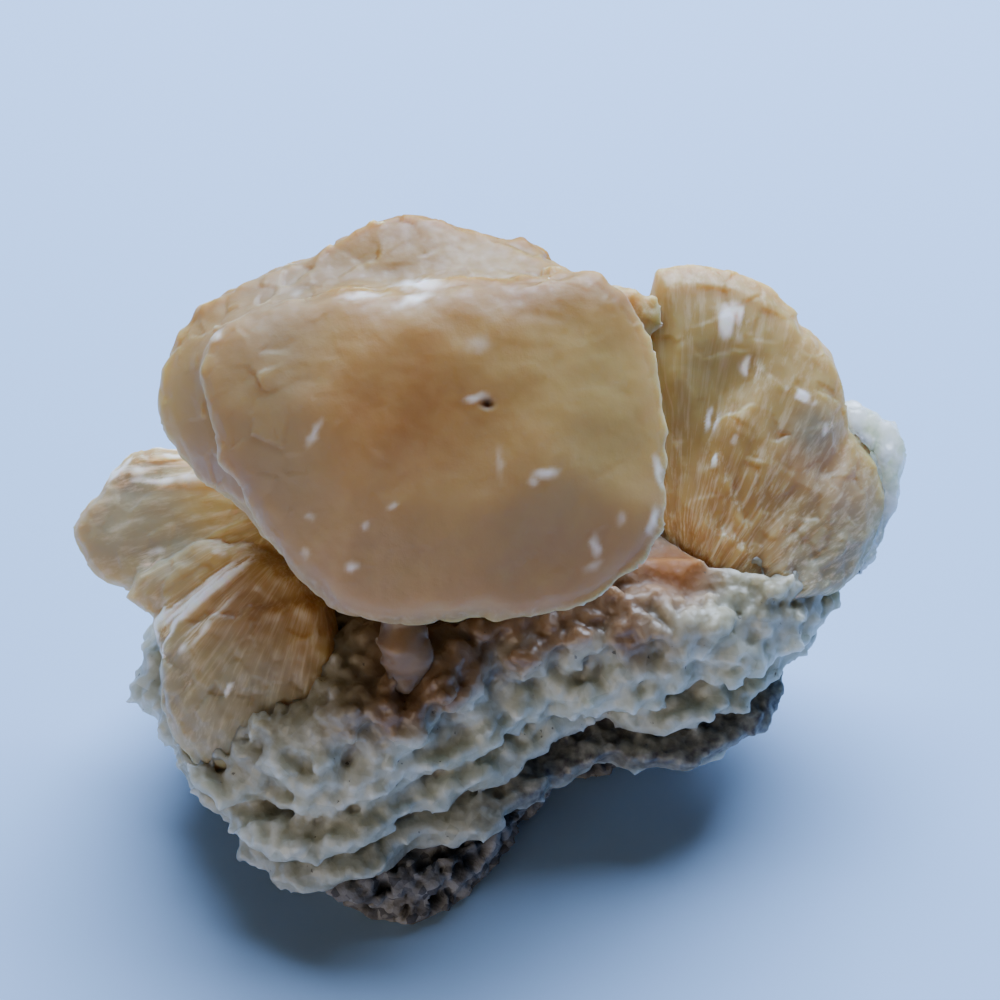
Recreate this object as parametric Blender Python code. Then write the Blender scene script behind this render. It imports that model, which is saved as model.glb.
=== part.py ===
"""A stilbite cluster: peach sheaves of stilbite on a crust of small pale crystals, on broken basalt.

Run it with: blender --background --python part.py
Lengths in the tables are millimetres; the model is in metres, +Z up. The cluster's front looks along -Y.
"""

import math
import random

import bmesh
import bpy
import numpy as np
from mathutils import Matrix, Vector, noise
from mathutils.bvhtree import BVHTree

MM = 0.001
TOUCHING_GAP = 0.3  # air between two solids that grew against each other

# ---------------------------------------------------------------- driving dimensions
# The bedding is the gently tilted face between the basalt below and the crystal crust above.
BEDDING_HEIGHT = 8.3
BEDDING_RISE_X, BEDDING_RISE_Y = 0.09, 0.07

# Plan of the basalt's broken, flat underside and of its top, where the crust covers it.
MATRIX_POINTS = 40
MATRIX_FOOT = [(-10, -24.3), (-14.5, -21.3), (-19, -16.5), (-25, -8), (-26, 2), (-22, 12), (-10, 17.5),
               (5, 18.5), (16, 14), (19, 6), (14, 0), (6, -5), (2.6, -10), (1.4, -15), (-2, -19.5),
               (-6, -23.6)]
MATRIX_HEAD = [(-8, -21.7), (-15, -22.6), (-22, -17.5), (-28, -10), (-29, 2), (-25, 13), (-12, 20.5),
               (6, 21.5), (19, 17), (27, 8.5), (25, 0), (12, -6.5), (3.6, -12), (-0.5, -17.5)]
MATRIX_ROUGHNESS = 0.7

# Plans of the crust's three ledges, lowest first. Each rim is where the ledge sticks out furthest.
CRUST_POINTS = 52
CRUST_CENTRE = (2, 0)
LOW_LEDGE = [(-23.5, -21), (-16.5, -24.8), (-7.3, -20.5), (0.7, -17.6), (5.5, -13.6), (10.8, -11.2),
             (18.2, -12.3), (23.5, -10.3), (27.5, -6.7), (29.5, -2), (32, 3), (30.5, 10), (25, 17),
             (14, 22), (0, 23.5), (-14, 22), (-25, 16), (-31, 8), (-32, -2), (-30, -10.5), (-26.5, -16)]
MIDDLE_LEDGE = [(-24, -20.5), (-16, -23.5), (-7, -18.8), (1.2, -14.8), (6.5, -10.5), (12.7, -9.1),
                (18.5, -9.7), (24.3, -8.8), (29, -5), (32, -0.8), (34, 4), (32.5, 11.5), (26, 18),
                (15, 23), (0, 24.3), (-15, 23), (-27, 17), (-33, 8), (-33.5, -2), (-31, -11),
                (-27, -16.5)]
TOP_LEDGE = [(-23, -18.8), (-15.2, -21), (-6, -17), (0.7, -12.8), (5.6, -11.3), (11.7, -10.9),
             (17.6, -9.5), (24.4, -7.8), (30, -4), (34.5, 0), (37.8, 4.5), (37, 12), (29, 18.5),
             (16, 22.8), (0, 23.8), (-15, 22.5), (-27, 16.5), (-34, 8), (-36, -4.5), (-33, -11.3),
             (-30.2, -14.6), (-27.9, -17.8)]
# Height of the crust's top edge and of its crown, at its left end and at its right end.
TOP_EDGE_HEIGHTS = (15.8, 25.2)
CROWN_HEIGHTS = (23.0, 31.0)
CRUST_ENDS_X = (-36, 40)
LEDGE_DEPTH = 3.0  # how far the grooves between the ledges run in
LUMP_HEIGHT, LUMP_FREQUENCY = 1.2, 0.16
DRUSE_SHARE = 0.62  # of the outer faces carry a small crystal
DRUSE_HEIGHTS = (0.5, 1.4)
SMALLEST_CRYSTAL = 1.1
SHARPEST_VALLEY = 0.5  # radians: no crystals on the sides of a sharper one
DRUSE_CLEARANCE = 0.6  # bare crust round the foot of a sheaf

# The front sheaf: a bundle that spreads from a narrow waist in the crust to two thick plates, whose end looks
# forward and up. FRONT_PLATE and BACK_PLATE are outlines seen square on to that end.
SHEAF_POINTS = 48
FRONT_CENTRE, FRONT_LEAN = (-5.4, -5.9, 50.2), 42
FRONT_PLATE = [(-21.5, 8.5), (-22, 6.5), (-20.5, 1), (-17.5, -5.5), (-13, -13), (-8.5, -16.5),
               (-3.5, -18), (1, -17.5), (4, -16.5), (10, -17), (15.5, -15.5), (20, -11), (22, -4.5),
               (21, 4.5), (20, 10.5), (16, 14.5), (13.5, 15.5), (10.5, 15), (6.5, 13.5), (-3, 13),
               (-12, 12), (-17.5, 11)]
BACK_PLATE = [(-23, 1.5), (-22.5, 4.5), (-19.5, 8), (-15.5, 10.5), (-10.5, 13), (-5.5, 15), (-1.5, 17.5),
              (1, 17.5), (7.5, 16), (13, 15), (15.5, 12), (19, 6.5), (20, -3), (18, -12.5), (9.5, -17),
              (0, -18.5), (-7.5, -17), (-15.5, -9.5), (-18.5, -7.5), (-22, -3.5)]
BACK_PLATE_OFFSET = (-3.2, 3.2, -9.0)  # its middle, from the front plate's
WAIST_CENTRE, WAIST_RADII = (-1, 3, 18), (12, 8.5)
FRONT_DOME = 5.5
# The end's flat facets: height over the front plate's middle, and fall towards +x and +y of the face.
FRONT_FACETS = [(4.1, 0.02, 0.03), (9.2, 0.0, 0.50), (7.8, -0.30, 0.30), (6.2, 0.02, -0.26),
                (8.2, 0.40, 0.02), (7.2, -0.34, -0.10), (7.6, 0.26, -0.26), (6.4, 0.16, 0.22)]

# Blades: tabular crystals that fan out from a root. Each row gives the middle of the blade's broad face,
# how far that face looks up and how far to the right, in degrees, the blade's thickness, the root it fans
# out from and its outline, both seen square on.
BLADE_POINTS = 24
RIGHT_SHEAF_BLADES = [
    ((22.6, 14.2, 34.9), 34, 10, 11, (-2, -16),
     [(-5.6, 12.8), (-4, 16.4), (-2, 16.6), (1, 15.6), (4.2, 14.6), (7.7, 12.6), (9.9, 10.4), (10.4, 6),
      (7, -1), (3, -8.5), (-1, -17), (-5.5, -17), (-7.5, -11), (-7.5, -5), (-6, 2.5), (-6, 7.5)]),
    ((28.2, 11.8, 32.1), 38, 18, 12, (-6, -15),
     [(-0.5, 13.5), (2.8, 14), (6, 13), (8.3, 10.3), (9.6, 6.8), (9.8, 3), (9, 0.5), (7.3, -3), (4.7, -8),
      (0.5, -12.5), (-3, -15.5), (-8, -15.5), (-11, -10), (-11, -3), (-9.4, 2), (-7.3, 5.7), (-3.6, 9.4)]),
    ((33.1, 7.9, 28.3), 36, 28, 9, (-9, -8),
     [(0.5, 5.7), (4.7, 6.2), (6.8, 6.2), (7.8, 3.6), (8.3, 1), (7.3, -3), (4.4, -6.6), (0.5, -8.6),
      (-4.5, -8.8), (-8.8, -7), (-9.3, -1.5), (-7.3, 2), (-3.6, 4.2)]),
]
PALE_CRYSTAL_BLADES = [
    ((39.2, 12.5, 27.0), 38, 25, 8, (-6, -8),
     [(-0.5, 9.5), (2, 8.6), (4.2, 6.8), (5.4, 5), (5.4, 3), (3.6, 0.3), (1.8, -2.5), (0, -5), (-1.8, -7.4),
      (-4, -8.6), (-6.5, -8.6), (-7.5, -4.5), (-5, 1.5), (-2.5, 6.5)]),
]
LEFT_FAN_BLADES = [
    ((-29.4, 4.4, 28.7), 42, -22, 7, (14, -2),
     [(-14.2, -4.5), (-13.6, -2.5), (-12.1, 0.5), (-10.6, 4), (-9.1, 5.6), (-6, 6.6), (-2, 7.1), (2, 6.6),
      (6.5, 5), (11.5, 2), (14, -1), (13, -4.5), (9, -6), (3, -7.5), (-3.5, -8), (-7.5, -8.5),
      (-12, -6.5)]),
    ((-27.0, -2.5, 25.9), 42, -18, 7, (12, 3),
     [(-11.5, -2), (-9.5, -3), (-7, -3.5), (-5.5, -4.5), (-2, -5.5), (3, -5), (7.5, -3), (11, 1.5),
      (9.5, 4), (5, 5.5), (0, 5), (-5, 3), (-9, 0.5)]),
    ((-25.8, -5.0, 25.0), 42, -12, 7, (10, 5),
     [(-8.1, -1), (-8.1, -2.5), (-7, -4), (-5, -6), (-2, -7.5), (2.5, -6.5), (7.5, -3), (10, 2),
      (7.5, 5.5), (3, 7), (-1, 5.5), (-4.5, 2.5), (-7, 0.5)]),
    ((-23.7, -9.2, 21.1), 42, -5, 9, (8, 9),
     [(-9, 3.5), (-9, 0.5), (-8.5, -3), (-7, -7), (-4, -10), (-0.5, -10.5), (4, -9), (7, -5), (8.5, 0.5),
      (8.5, 5), (8, 8), (5.5, 9), (1.5, 8), (-3.5, 6), (-7, 5)]),
]
BACK_SHEAF_BLADES = [
    ((14.5, 19.5, 35.0), 8, 172, 10, (0, -15),
     [(-10, 7), (-7.5, 10.5), (-3, 12.5), (2, 12.8), (6.5, 11), (9.5, 8), (10.5, 4), (8, -3), (5.5, -10),
      (3, -15), (-3.5, -15), (-6, -9), (-8.5, -2), (-10.5, 3)]),
]
BACK_LEFT_SHEAF_BLADES = [
    ((-10.0, 19.0, 31.0), 15, 196, 9, (0, -13),
     [(-8.5, 6), (-6, 9.5), (-1, 11), (4, 10.5), (8, 7.5), (9.5, 3.5), (7.5, -3), (5, -9), (3, -13),
      (-3, -13), (-5.5, -8), (-8, -2), (-9.5, 2.5)]),
]
STUB_BLADES = [
    ((-8.2, -11.8, 29.2), 25, 4, 3.2, (0, 0),
     [(-1.7, 5), (0, 5.2), (1.7, 5), (1.7, 2), (1.6, 0), (1.7, -2), (1.5, -4), (0.5, -5.2), (-0.8, -5),
      (-1.5, -3.5), (-1.6, -1.5), (-1.6, 0), (-1.7, 2)]),
]

# Colours are linear RGB.
MATERIALS = {
    "basalt": ((0.075, 0.072, 0.075), 0.95),
    "druse": ((0.52, 0.55, 0.50), 0.5),
    "stilbite": ((0.62, 0.37, 0.19), 0.35),
    "pale_zeolite": ((0.66, 0.68, 0.60), 0.3),
}


# ---------------------------------------------------------------- helpers for round outlines
def radii_at_even_angles(outline, count, start=0.0):
    """Distance to a closed outline of (x, y) points at count even angles. Start is in steps."""
    angles = (np.arange(count) + start) * 2 * math.pi / count
    at = [math.atan2(y, x) for x, y in outline]
    far = [math.hypot(x, y) for x, y in outline]
    return np.interp(angles, at, far, period=2 * math.pi)


def ring(radii, centre=(0, 0, 0), start=0.0):
    """Points at even angles round centre, in the plane z = centre's z, at those distances."""
    step = 2 * math.pi / len(radii)
    turns = [(i + start) * step for i in range(len(radii))]
    return [Vector((centre[0] + r * math.cos(a), centre[1] + r * math.sin(a), centre[2]))
            for a, r in zip(turns, radii)]


def blade_runs(count, depth, longest, rng):
    """Offsets round a rim where runs of neighbouring points share one value, as thin blades' ends do."""
    offsets = []
    while len(offsets) < count:
        offsets += [rng.uniform(-depth, depth)] * rng.randint(1, longest)
    return np.array(offsets[:count])


def face_frame(centre, lean, turn):
    """Places a crystal face: local x runs across it, y up it and z out of it, from its middle."""
    turned = Matrix.Rotation(math.radians(turn), 4, "Z")
    leant = Matrix.Rotation(math.radians(90 - lean), 4, "X")
    return Matrix.Translation(centre) @ turned @ leant


# ---------------------------------------------------------------- helpers for solids
def material(name):
    colour, roughness = MATERIALS[name]
    found = bpy.data.materials.get(name) or bpy.data.materials.new(name)
    found.use_nodes = True
    shader = found.node_tree.nodes["Principled BSDF"]
    shader.inputs["Base Color"].default_value = (*colour, 1)
    shader.inputs["Roughness"].default_value = roughness
    shader.inputs["Metallic"].default_value = 0
    return found


def add_object(name, bm, material_name):
    """Turns a mesh drawn in millimetres into an object in metres, its triangles facing out."""
    bmesh.ops.triangulate(bm, faces=bm.faces)
    bmesh.ops.recalc_face_normals(bm, faces=bm.faces)
    if bm.calc_volume(signed=True) < 0:
        bmesh.ops.reverse_faces(bm, faces=bm.faces)
    bmesh.ops.scale(bm, vec=(MM, MM, MM), verts=bm.verts)
    mesh = bpy.data.meshes.new(name)
    bm.to_mesh(mesh)
    bm.free()
    mesh.materials.append(material(material_name))
    obj = bpy.data.objects.new(name, mesh)
    bpy.context.scene.collection.objects.link(obj)
    return obj


def loft(rings, first=None, last=None):
    """Skins a closed body over rings of equal count. An end closes on its point, or stays flat."""
    bm = bmesh.new()
    rows = [[bm.verts.new(point) for point in points] for points in rings]
    count = len(rows[0])
    for row, following in zip(rows, rows[1:]):
        for i in range(count):
            j = (i + 1) % count
            bm.faces.new((row[i], row[j], following[j], following[i]))
    for row, tip in ((rows[0], first), (rows[-1], last)):
        if tip is None:
            bm.faces.new(row)
            continue
        apex = bm.verts.new(tip)
        for i in range(count):
            bm.faces.new((row[i], row[(i + 1) % count], apex))
    return bm


def apply_modifiers(obj):
    graph = bpy.context.evaluated_depsgraph_get()
    shaped = bpy.data.meshes.new_from_object(obj.evaluated_get(graph))
    obj.modifiers.clear()
    obj.data = shaped


def keep_main_body(obj):
    """Drops the chips that a cut leaves loose."""
    bm = bmesh.new()
    bm.from_mesh(obj.data)
    bodies, seen = [], set()
    for seed in bm.verts:
        if seed in seen:
            continue
        body, waiting = {seed}, [seed]
        while waiting:
            for edge in waiting.pop().link_edges:
                for vert in edge.verts:
                    if vert not in body:
                        body.add(vert)
                        waiting.append(vert)
        seen |= body
        bodies.append(body)
    bodies.sort(key=len)
    bmesh.ops.delete(bm, geom=[vert for body in bodies[:-1] for vert in body], context="VERTS")
    bm.to_mesh(obj.data)
    bm.free()


def combine(obj, others, operation):
    """Joins the others to obj, or cuts them from it."""
    for other in others:
        modifier = obj.modifiers.new(operation.lower(), "BOOLEAN")
        modifier.operation = operation
        modifier.solver = "EXACT"
        modifier.object = other
    bpy.context.view_layer.update()
    apply_modifiers(obj)
    keep_main_body(obj)


def grown_copy(obj, by):
    """A cutter: a copy of obj whose surface stands out by that many millimetres."""
    bm = bmesh.new()
    bm.from_mesh(obj.data)
    bm.normal_update()
    moved = [vert.co + vert.normal * by * MM * min(1.5, vert.calc_shell_factor()) for vert in bm.verts]
    for vert, place in zip(bm.verts, moved):
        vert.co = place
    bmesh.ops.scale(bm, vec=(1 / MM,) * 3, verts=bm.verts)
    cutter = add_object(obj.name + "_cutter", bm, "druse")
    cutter.hide_render = True
    cutter.display_type = "WIRE"
    return cutter


def grow_together(name, bodies, clear_of):
    """Joins bodies grown through each other, cut clear of the cutters given. Returns its own cutters."""
    cutters = [grown_copy(body, TOUCHING_GAP) for body in bodies]
    whole, *others = bodies
    whole.name = name
    combine(whole, others, "UNION")
    for other in others:
        bpy.data.objects.remove(other)
    combine(whole, clear_of, "DIFFERENCE")
    return cutters


# ---------------------------------------------------------------- basalt
def bedding(x, y):
    return BEDDING_HEIGHT + BEDDING_RISE_X * x + BEDDING_RISE_Y * y


def make_matrix():
    """The broken basalt: a flat underside, rough sides that lean out, and a top cut along the bedding."""
    rng = random.Random(11)
    foot = radii_at_even_angles(MATRIX_FOOT, MATRIX_POINTS)
    head = radii_at_even_angles(MATRIX_HEAD, MATRIX_POINTS)
    rings = [ring(foot)]
    for share, swell in ((0.18, 0.7), (0.42, 0.2), (0.68, 0.8), (0.9, 0.2)):
        radii = foot + (head - foot) * share + swell
        rough = [rng.uniform(-MATRIX_ROUGHNESS, MATRIX_ROUGHNESS) for _ in radii]
        level = ring(radii + np.array(rough))
        for point in level:
            point.z = share * bedding(point.x, point.y) + rng.uniform(-0.3, 0.3)
        rings.append(level)
    top = ring(head)
    for point in top:
        point.z = bedding(point.x, point.y) - TOUCHING_GAP
    rings.append(top)
    return add_object("matrix", loft(rings), "basalt")


# ---------------------------------------------------------------- crystal crust
def along_crust(heights, x):
    """A height that goes evenly from the crust's left end to its right end."""
    share = (x - CRUST_ENDS_X[0]) / (CRUST_ENDS_X[1] - CRUST_ENDS_X[0])
    return heights[0] + (heights[1] - heights[0]) * min(1, max(0, share))


def crust_levels():
    """From the underside over the ledges to the crown: plan, share of it, step in, height, roughness."""
    def between(low_at, high_at, share):
        return lambda p: low_at(p) * (1 - share) + high_at(p) * share

    def base(p):
        return bedding(p.x, p.y)

    def edge(p):
        return along_crust(TOP_EDGE_HEIGHTS, p.x)

    def crown(p):
        return along_crust(CROWN_HEIGHTS, p.x)

    return [
        (LOW_LEDGE, 1, 1.4, base, 0),
        (LOW_LEDGE, 1, 0.0, between(base, edge, 0.06), 0.5),
        (LOW_LEDGE, 1, 0.1, between(base, edge, 0.25), 0.5),
        (MIDDLE_LEDGE, 1, LEDGE_DEPTH, between(base, edge, 0.31), 0),
        (MIDDLE_LEDGE, 1, 0.0, between(base, edge, 0.37), 0.5),
        (MIDDLE_LEDGE, 1, 0.1, between(base, edge, 0.54), 0.5),
        (TOP_LEDGE, 1, LEDGE_DEPTH, between(base, edge, 0.61), 0),
        (TOP_LEDGE, 1, 0.0, between(base, edge, 0.67), 0.5),
        (TOP_LEDGE, 1, 0.1, between(base, edge, 0.84), 0.6),
        (TOP_LEDGE, 1, 1.6, edge, 0.6),
        (TOP_LEDGE, 0.86, 0, between(edge, crown, 0.6), 0.8),
        (TOP_LEDGE, 0.66, 0, between(edge, crown, 0.9), 0.6),
        (TOP_LEDGE, 0.40, 0, crown, 0.3),
    ]


def crust_body(rng):
    """The crust without crystals: rings set half a step round from each other, skinned with uneven faces."""
    rings = []
    for i, (plan, share, step_in, height_at, rough) in enumerate(crust_levels()):
        about = [(x - CRUST_CENTRE[0], y - CRUST_CENTRE[1]) for x, y in plan]
        start = 0.5 * (i % 2)
        radii = radii_at_even_angles(about, CRUST_POINTS, start) * share - step_in
        level = ring(radii, (*CRUST_CENTRE, 0), start)
        for point, radius in zip(level, radii):
            out = Vector((point.x - CRUST_CENTRE[0], point.y - CRUST_CENTRE[1], 0)) / radius
            side = Vector((-out.y, out.x, 0)) * radius * 2 * math.pi / CRUST_POINTS
            lump = noise.noise(point * LUMP_FREQUENCY + Vector((0, 0, i * 0.6))) * LUMP_HEIGHT
            uneven = min(1, rough * 2)
            point += out * (lump * uneven + rng.uniform(-rough, rough))
            point += side * rng.uniform(-0.35, 0.35) * uneven
        for point in level:
            point.z = height_at(point) + rng.uniform(-0.5, 0.5) * rough
        rings.append(level)
    crown = sum(rings[-1], Vector()) / CRUST_POINTS
    bm = loft(rings, last=crown + Vector((0, 0, 0.2)))
    bmesh.ops.recalc_face_normals(bm, faces=bm.faces)
    if bm.calc_volume(signed=True) < 0:
        bmesh.ops.reverse_faces(bm, faces=bm.faces)
    sides = [face for face in bm.faces if len(face.verts) == 4]
    triangles = bmesh.ops.triangulate(bm, faces=sides, quad_method="SHORT_EDGE")["faces"]
    bmesh.ops.join_triangles(bm, faces=triangles, angle_face_threshold=0.9, angle_shape_threshold=1.2)
    bm.verts.index_update()
    return bm


def grow_druse(bm, rng, sockets):
    """Turns most outer faces into stubby crystals with a flat, slightly tilted end, clear of the sockets."""
    trees = [BVHTree.FromObject(obj, bpy.context.evaluated_depsgraph_get()) for obj in sockets]

    def is_inside(tree, point):
        crossings, up = 0, Vector((0, 0, 1))
        hit = tree.ray_cast(point, up)[0]
        while hit:
            crossings += 1
            hit = tree.ray_cast(hit + up * 1e-6, up)[0]
        return crossings % 2 == 1

    def is_clear(point):
        return not any(is_inside(tree, point * MM) or tree.find_nearest(point * MM)[3] < DRUSE_CLEARANCE * MM
                       for tree in trees)

    bare = {i for i, level in enumerate(crust_levels()) if level[2] == LEDGE_DEPTH}
    outer = [face for face in bm.faces if len(face.verts) < 8 and face.normal.z > -0.45
             and bare.isdisjoint(vert.index // CRUST_POINTS for vert in face.verts)
             and all(edge.calc_face_angle_signed() > -SHARPEST_VALLEY for edge in face.edges)]
    for face in outer:
        if rng.random() > DRUSE_SHARE or not is_clear(face.calc_center_median()):
            continue
        size = min(edge.calc_length() for edge in face.edges)
        if size < SMALLEST_CRYSTAL:
            continue
        height = min(rng.uniform(*DRUSE_HEIGHTS), size * 0.45)
        bmesh.ops.inset_individual(bm, faces=[face], thickness=size * rng.uniform(0.18, 0.24), depth=height)
        tilt = Matrix.Rotation(rng.uniform(-0.15, 0.15), 3, (rng.uniform(-1, 1), rng.uniform(-1, 1), 0.3))
        bmesh.ops.rotate(bm, cent=face.calc_center_median(), matrix=tilt, verts=face.verts)


def make_crust(sockets):
    """The crust, with its crystals fused on and the sockets cut for what stands in it."""
    rng = random.Random(68)
    bm = crust_body(rng)
    bm.normal_update()
    grow_druse(bm, rng, sockets)
    crust = add_object("druse_crust", bm, "druse")
    combine(crust, sockets, "DIFFERENCE")


# ---------------------------------------------------------------- front sheaf
def grind_facets(bm, facets, place):
    """Cuts flat facets on a body's side that faces out of place, each over its middle and falling away."""
    for height, fall_x, fall_y in facets:
        out = place.to_3x3() @ Vector((fall_x, fall_y, 1))
        cut = bmesh.ops.bisect_plane(bm, geom=[*bm.verts, *bm.edges, *bm.faces], dist=1e-5,
                                     plane_co=place @ Vector((0, 0, height)), plane_no=out, clear_outer=True)
        edges = [part for part in cut["geom_cut"] if isinstance(part, bmesh.types.BMEdge)]
        bmesh.ops.edgeloop_fill(bm, edges=edges)


def make_front_body():
    """The bundle and its two plates: rings from the waist to the plates and the dome."""
    rng = random.Random(3)
    place = face_frame(FRONT_CENTRE, FRONT_LEAN, 0)
    front = radii_at_even_angles(FRONT_PLATE, SHEAF_POINTS)
    back = radii_at_even_angles(BACK_PLATE, SHEAF_POINTS)
    front = front + blade_runs(SHEAF_POINTS, 0.35, 3, rng)
    back = back + blade_runs(SHEAF_POINTS, 0.45, 3, rng)
    ridges = blade_runs(SHEAF_POINTS, 0.05, 3, rng)
    dx, dy, dz = BACK_PLATE_OFFSET

    waist = []
    for i in range(SHEAF_POINTS):
        angle = 2 * math.pi * i / SHEAF_POINTS
        waist.append(Vector((WAIST_CENTRE[0] + WAIST_RADII[0] * math.cos(angle),
                             WAIST_CENTRE[1] + WAIST_RADII[1] * math.sin(angle), WAIST_CENTRE[2])))
    back_rear = [place @ p for p in ring(back * 0.94, (dx, dy, dz - 3))]
    rings = [waist]
    middle, end = Vector(WAIST_CENTRE), place @ Vector((dx, dy, dz - 3))
    for along in (0.3, 0.55, 0.8):
        spread = along ** 1.35
        here = middle.lerp(end, along)
        level = []
        for i in range(SHEAF_POINTS):
            out = (waist[i] - middle).lerp(back_rear[i] - end, spread)
            level.append(here + out * (1 + ridges[i]))
        rings.append(level)
    rings.append(back_rear)
    plates = [
        (back, (dx, dy, dz)),
        (back * 0.985, (dx, dy, dz + 2.2)),
        ((back + front) * 0.48, (dx * 0.45, dy * 0.45, -4.4)),
        (front * 0.97, (0, 0, -3.2)),
        (front, (0, 0, -0.8)),
    ]
    rings += [[place @ p for p in ring(radii, centre)] for radii, centre in plates]
    for share in (0.95, 0.86, 0.74, 0.58, 0.38):
        height = FRONT_DOME * (1 - share ** 3) ** 0.6
        rings.append([place @ p for p in ring(front * share, (0, 0, height))])
    bm = loft(rings, last=place @ Vector((0, 0, FRONT_DOME)))
    grind_facets(bm, FRONT_FACETS, place)
    return add_object("front_sheaf_body", bm, "stilbite")


# ---------------------------------------------------------------- blades, and the sheaves made of them
# A blade's cross-section from its back to its front: share of the outline, and height as a share of its
# thickness.
BLADE_SECTION = ((0.62, -0.46), (0.95, -0.20), (1.0, 0.06), (0.93, 0.27), (0.72, 0.43), (0.40, 0.50))
FAN_POINT = 0.7  # how far towards the root the ridges on a blade's face run together


def make_blade(name, row, material_name, rng):
    """One tabular crystal, thickest in its middle, with ridges running out from its root to its rim."""
    centre, lean, turn, thickness, root, outline = row
    place = face_frame(centre, lean, turn)
    radii = radii_at_even_angles(outline, BLADE_POINTS) * (1 + blade_runs(BLADE_POINTS, 0.03, 2, rng))
    ridges = blade_runs(BLADE_POINTS, 0.05, 2, rng)
    fan_point = Vector((*root, 0)) * FAN_POINT
    rings = []
    for share, height in BLADE_SECTION:
        level = ring(radii * share, fan_point * (1 - share))
        for i, point in enumerate(level):
            point.z = thickness * height * (1 + ridges[i])
        rings.append([place @ p for p in level])
    ends = [place @ (fan_point + Vector((0, 0, thickness * side))) for side in (-0.5, 0.5)]
    return add_object(name, loft(rings, *ends), material_name)


def make_blades(name, rows, material_name, seed):
    rng = random.Random(seed)
    return [make_blade(f"{name}_blade_{i}", row, material_name, rng) for i, row in enumerate(rows)]


# ---------------------------------------------------------------- the cluster
def centre_on_floor(objects):
    """Moves the meshes so that the cluster's box stands on z = 0, centred on the origin."""
    points = np.array([vert.co for obj in objects for vert in obj.data.vertices])
    low, high = points.min(axis=0), points.max(axis=0)
    shift = Matrix.Translation((-(low[0] + high[0]) / 2, -(low[1] + high[1]) / 2, -low[2]))
    for obj in objects:
        obj.data.transform(shift)


def main():
    for obj in list(bpy.data.objects):
        bpy.data.objects.remove(obj)
    make_matrix()
    stub = make_blades("stub", STUB_BLADES, "stilbite", 26)
    front = grow_together("front_sheaf", [make_front_body(), *stub], [])
    right_blades = make_blades("right_sheaf", RIGHT_SHEAF_BLADES, "stilbite", 21)
    right = grow_together("right_sheaf", right_blades, front)
    left_blades = make_blades("left_fan", LEFT_FAN_BLADES, "stilbite", 22)
    left = grow_together("left_fan", left_blades, front)
    pale_blades = make_blades("pale_crystal", PALE_CRYSTAL_BLADES, "pale_zeolite", 23)
    pale = grow_together("pale_crystal", pale_blades, right)
    back_blades = make_blades("back_sheaf", BACK_SHEAF_BLADES, "stilbite", 24)
    back = grow_together("back_sheaf", back_blades, front + right)
    back_left_blades = make_blades("back_left_sheaf", BACK_LEFT_SHEAF_BLADES, "stilbite", 25)
    back_left = grow_together("back_left_sheaf", back_left_blades, front + back)
    sockets = front + right + left + pale + back + back_left
    make_crust(sockets)
    for cutter in sockets:
        bpy.data.objects.remove(cutter)
    centre_on_floor(list(bpy.data.objects))


main()
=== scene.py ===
"""Looks of a stilbite cluster: peach stilbite sheaves and a pale zeolite crystal on a sugary crust of small
crystals, which lines a broken piece of basalt. Lengths named in mm are turned to metres where used."""

import math

import bmesh
import bpy
import numpy as np
from mathutils import Matrix, Vector, noise
from mathutils.bvhtree import BVHTree


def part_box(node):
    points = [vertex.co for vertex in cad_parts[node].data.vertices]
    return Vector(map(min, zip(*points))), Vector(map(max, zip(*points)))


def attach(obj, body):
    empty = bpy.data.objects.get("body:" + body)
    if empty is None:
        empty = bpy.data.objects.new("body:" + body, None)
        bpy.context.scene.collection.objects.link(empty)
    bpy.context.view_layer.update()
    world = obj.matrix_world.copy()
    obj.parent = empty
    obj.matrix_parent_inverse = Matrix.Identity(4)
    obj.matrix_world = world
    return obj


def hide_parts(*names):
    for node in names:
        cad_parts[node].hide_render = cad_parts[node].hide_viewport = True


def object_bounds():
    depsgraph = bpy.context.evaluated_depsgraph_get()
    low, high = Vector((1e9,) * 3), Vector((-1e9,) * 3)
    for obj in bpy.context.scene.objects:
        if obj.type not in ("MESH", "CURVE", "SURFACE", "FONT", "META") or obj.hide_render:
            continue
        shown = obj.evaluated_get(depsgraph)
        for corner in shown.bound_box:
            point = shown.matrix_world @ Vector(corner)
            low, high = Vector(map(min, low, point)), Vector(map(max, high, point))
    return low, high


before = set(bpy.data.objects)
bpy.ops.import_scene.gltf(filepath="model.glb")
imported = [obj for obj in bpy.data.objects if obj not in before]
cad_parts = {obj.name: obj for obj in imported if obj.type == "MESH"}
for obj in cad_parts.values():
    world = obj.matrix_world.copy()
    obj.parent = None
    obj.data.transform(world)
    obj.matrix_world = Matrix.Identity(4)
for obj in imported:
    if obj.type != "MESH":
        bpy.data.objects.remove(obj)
cad_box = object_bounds()

# ---------------------------------------------------------------- camera
# The specimen stands on a table, seen from in front and well above it.
MM = 0.001
# Places below are in mm from the point under the crust's middle where the bedding's height is named. The
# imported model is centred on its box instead, so the front sheaf's lowest corner gives that point again.
FRONT_SHEAF_CORNER = (-31.60, -18.59, 18.0)
ORIGIN = np.array(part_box("front_sheaf")[0]) / MM - FRONT_SHEAF_CORNER
LOOK_AT = Vector(ORIGIN + (1.0, 3.2, 33.4)) * MM
VIEW_ELEVATION = math.radians(42)
VIEW_DISTANCE = 213.9 * MM
LENS, SENSOR_WIDTH = 77.0, 36.0  # mm
toward_viewer = Vector((0, -math.cos(VIEW_ELEVATION), math.sin(VIEW_ELEVATION)))

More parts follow.
